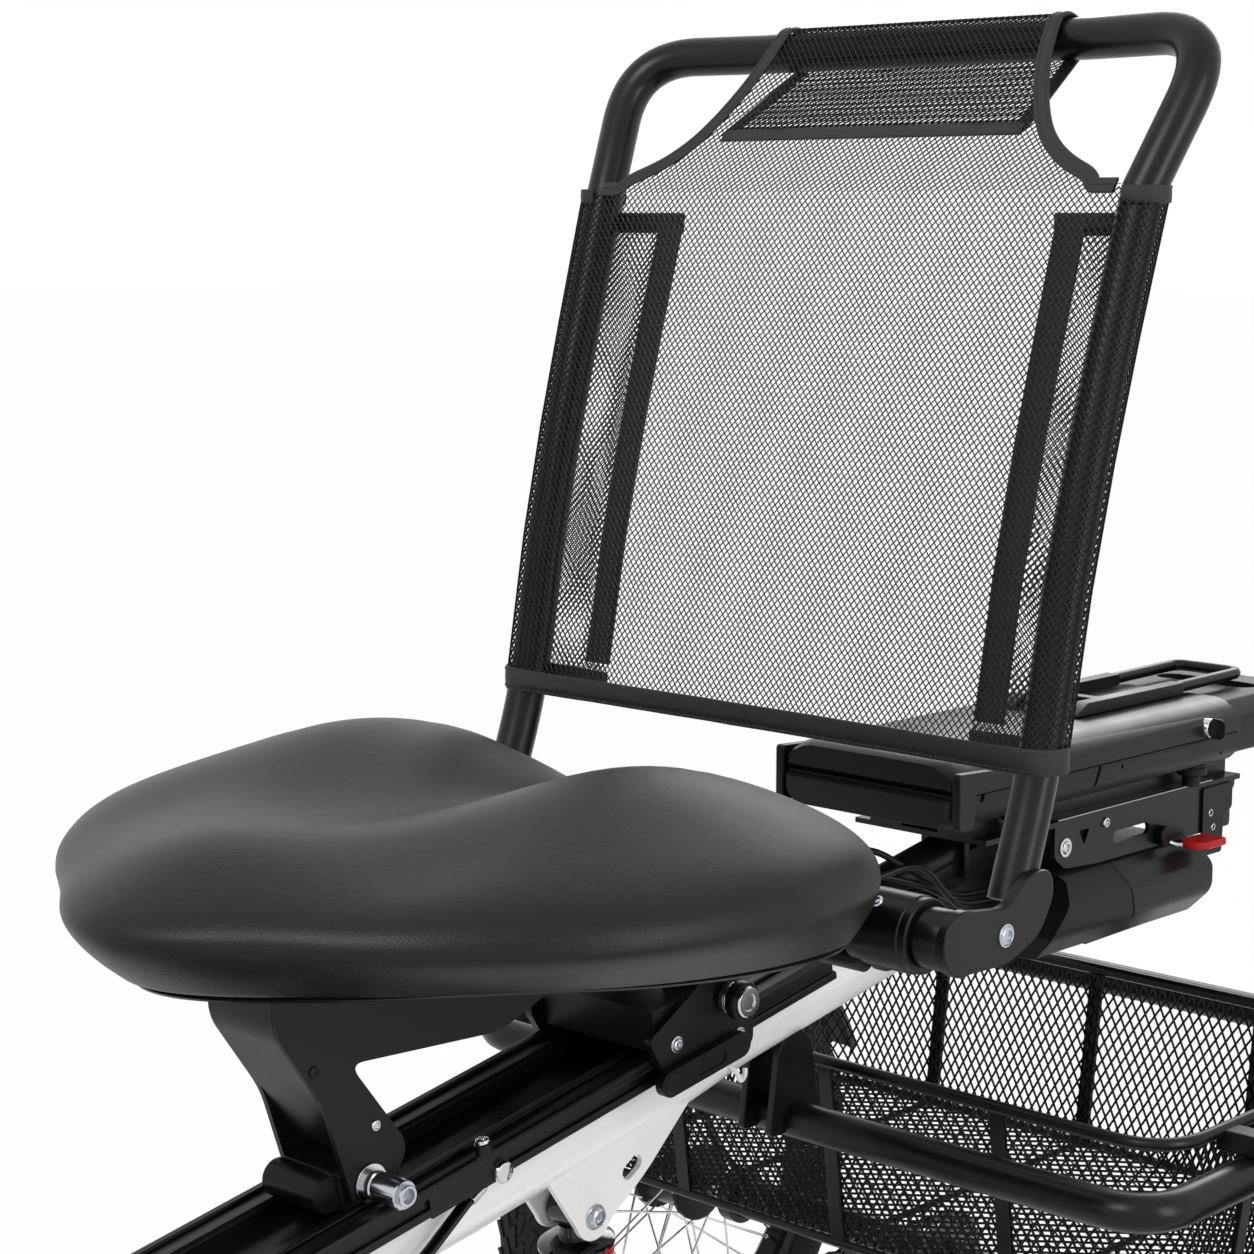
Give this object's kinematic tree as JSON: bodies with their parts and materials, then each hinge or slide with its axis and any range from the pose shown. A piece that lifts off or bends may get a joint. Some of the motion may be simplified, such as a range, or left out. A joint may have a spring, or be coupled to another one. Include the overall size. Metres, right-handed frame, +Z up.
{
  "type": "three-wheel electric scooter",
  "caption": "Pedal-assisted electric three-wheeler with a sliding wide saddle, reclining mesh backrest, rear battery dock, wire basket and sprung rear swingarm.",
  "frame": {"origin": "middle of the bounding box's underside, on the ground", "axes": "+Z up, -Y to the front wheel, +X to the rider's left"},
  "size_m": [0.789, 1.85, 1.1782],
  "materials": {
    "white_enamel": "gloss",
    "black_coat": "satin powder coat",
    "black_aluminium": "black anodised",
    "matt_plastic": "matt",
    "hide": "imitation leather",
    "netting": "open mesh",
    "tyre_rubber": "matt",
    "grip_rubber": "matt",
    "bright_zinc": "bright",
    "bare_aluminium": "brushed",
    "steel": "brushed",
    "red_plastic": "satin",
    "lens": "clear"
  },
  "bodies": {
    "frame": {"main_frame": "white_enamel", "seat_rails": "black_aluminium", "rear_frame": "black_coat", "rack_frame": "black_coat", "battery_dock": "black_coat", "controller_box": "matt_plastic", "basket_frame": "black_coat", "basket_net_front": "black_coat", "basket_net_rear": "black_coat", "basket_net_left": "black_coat", "basket_net_right": "black_coat", "basket_net_floor": "black_coat"},
    "seat": {"saddle": "hide", "seat_bracket": "black_coat", "seat_slider_front": "black_aluminium", "seat_slider_rear": "black_aluminium", "seat_pin": "bright_zinc", "clamp_bolt": "bright_zinc", "backrest_crossbar": "black_coat"},
    "seat_lever": {"seat_release_lever": "black_aluminium"},
    "backrest": {"backrest_frame": "black_coat", "backrest_net": "netting"},
    "battery": {"battery_case": "matt_plastic", "battery_lid": "matt_plastic", "battery_tail": "matt_plastic", "tail_light": "red_plastic", "carrier_rails": "black_coat"},
    "key": {"battery_key": "bright_zinc"},
    "latch": {"dock_lever": "red_plastic"},
    "steering": {"fork_crown": "steel", "stem_riser": "black_aluminium", "headlight": "lens"},
    "fork": {"fork_lowers": "black_aluminium", "front_mudguard": "matt_plastic"},
    "wheel_front": {"front_wheel": "bare_aluminium", "front_tyre": "tyre_rubber"},
    "post": {"stem_post": "bare_aluminium", "handlebar": "black_aluminium", "grip_left": "grip_rubber", "display": "matt_plastic"},
    "throttle": {"throttle_grip": "grip_rubber"},
    "brake_left": {"brake_lever_left": "bare_aluminium"},
    "brake_right": {"brake_lever_right": "bare_aluminium"},
    "button": {"display_button": "grip_rubber"},
    "swing": {"swingarm": "black_coat", "mudguard_left": "matt_plastic", "mudguard_right": "matt_plastic", "chain": "steel"},
    "wheel_left": {"rear_wheel_left": "bare_aluminium", "rear_tyre_left": "tyre_rubber"},
    "wheel_right": {"rear_wheel_right": "bare_aluminium", "rear_tyre_right": "tyre_rubber"},
    "sprocket_body": {"sprocket": "steel"},
    "crank": {"crankset": "bare_aluminium"},
    "pedal_l": {"pedal_left": "matt_plastic"},
    "pedal_r": {"pedal_right": "matt_plastic"},
    "shock": {"shock_body": "black_coat", "preload_ring": "red_plastic", "shock_spring": "black_coat"},
    "shock_lower": {"shock_rod": "steel"}
  },
  "joints": [
    {"name": "steering", "type": "hinge", "parent": "frame", "child": "steering", "pos_m": [0, -0.63636, 0.23965], "axis": [0, 0.2588, 0.9659], "range_deg": [-40, 40]},
    {"name": "fork_travel", "type": "slide", "parent": "steering", "child": "fork", "axis": [0, 0.2588, 0.9659], "range_m": [0, 0.04], "stiffness_N_per_m": 10000, "springref_m": -0.05},
    {"name": "front_wheel_spin", "type": "hinge", "parent": "fork", "child": "wheel_front", "pos_m": [0, -0.675, 0.25], "axis": [1, 0, 0], "continuous": true},
    {"name": "handlebar_height", "type": "slide", "parent": "steering", "child": "post", "axis": [0, 0.2588, 0.9659], "range_m": [-0.03, 0.05]},
    {"name": "throttle", "type": "hinge", "parent": "post", "child": "throttle", "pos_m": [-0.36, -0.28331, 1.15649], "axis": [-0.7002, 0.7129, -0.0382], "range_deg": [0, 30], "stiffness_Nm_per_rad": 1, "springref_deg": -11.46},
    {"name": "brake_left", "type": "hinge", "parent": "post", "child": "brake_left", "pos_m": [0.29386, -0.39343, 1.16127], "axis": [0, 0, 1], "range_deg": [0, 12], "stiffness_Nm_per_rad": 3, "springref_deg": -8.59},
    {"name": "brake_right", "type": "hinge", "parent": "post", "child": "brake_right", "pos_m": [-0.29386, -0.39343, 1.16127], "axis": [0, 0, -1], "range_deg": [0, 12], "stiffness_Nm_per_rad": 3, "springref_deg": -8.59},
    {"name": "display_button", "type": "slide", "parent": "post", "child": "button", "axis": [0, 0.3746, -0.9272], "range_m": [0, 0.0018], "stiffness_N_per_m": 500, "springref_m": -0.001},
    {"name": "swingarm", "type": "hinge", "parent": "frame", "child": "swing", "pos_m": [0, -0.33, 0.32], "axis": [1, 0, 0], "range_deg": [0, 3], "stiffness_Nm_per_rad": 6000, "springref_deg": -5.73},
    {"name": "shock_pivot", "type": "hinge", "parent": "frame", "child": "shock", "pos_m": [0, 0.14, 0.395], "axis": [1, 0, 0], "range_deg": [0, 3.2]},
    {"name": "shock_slide", "type": "slide", "parent": "shock", "child": "shock_lower", "axis": [0, -0.1605, 0.987], "range_m": [0, 0.026], "deforming": ["shock_spring"]},
    {"name": "rear_wheel_left_spin", "type": "hinge", "parent": "swing", "child": "wheel_left", "pos_m": [0.36, 0.635, 0.203], "axis": [1, 0, 0], "continuous": true},
    {"name": "rear_wheel_right_spin", "type": "hinge", "parent": "swing", "child": "wheel_right", "pos_m": [-0.36, 0.635, 0.203], "axis": [1, 0, 0], "continuous": true},
    {"name": "crank_spin", "type": "hinge", "parent": "frame", "child": "crank", "pos_m": [0, -0.33, 0.32], "axis": [1, 0, 0], "continuous": true},
    {"name": "sprocket_spin", "type": "hinge", "parent": "swing", "child": "sprocket_body", "pos_m": [0, 0.635, 0.203], "axis": [1, 0, 0], "continuous": true},
    {"name": "pedal_left_spin", "type": "hinge", "parent": "crank", "child": "pedal_l", "pos_m": [0.078, -0.33, 0.175], "axis": [1, 0, 0], "continuous": true},
    {"name": "pedal_right_spin", "type": "hinge", "parent": "crank", "child": "pedal_r", "pos_m": [-0.078, -0.33, 0.465], "axis": [1, 0, 0], "continuous": true},
    {"name": "seat_slide", "type": "slide", "parent": "frame", "child": "seat", "axis": [0, 0.9829, 0.184], "range_m": [-0.15, 0.05]},
    {"name": "seat_release", "type": "hinge", "parent": "seat", "child": "seat_lever", "pos_m": [0.061, 0.23194, 0.49855], "axis": [1, 0, 0], "range_deg": [0, 12], "stiffness_Nm_per_rad": 1, "springref_deg": -11.46},
    {"name": "backrest_recline", "type": "hinge", "parent": "seat", "child": "backrest", "pos_m": [0, 0.225, 0.6], "axis": [-1, 0, 0], "range_deg": [-15, 15]},
    {"name": "battery_slide", "type": "slide", "parent": "frame", "child": "battery", "axis": [0, 1, 0], "range_m": [0, 0.3]},
    {"name": "battery_key_turn", "type": "hinge", "parent": "battery", "child": "key", "pos_m": [0.074, 0.76, 0.639], "axis": [1, 0, 0], "range_deg": [0, 90]},
    {"name": "dock_lever_turn", "type": "hinge", "parent": "frame", "child": "latch", "pos_m": [0.06, 0.724, 0.5575], "axis": [1, 0, 0], "range_deg": [0, 45]}
  ],
  "couplings": [
    {"joint": "shock_pivot", "follows": "swingarm", "ratio": 1.0113},
    {"joint": "shock_slide", "follows": "swingarm", "m_per_rad": 0.47594},
    {"joint": "sprocket_spin", "follows": "crank_spin", "ratio": 1.6177}
  ]
}
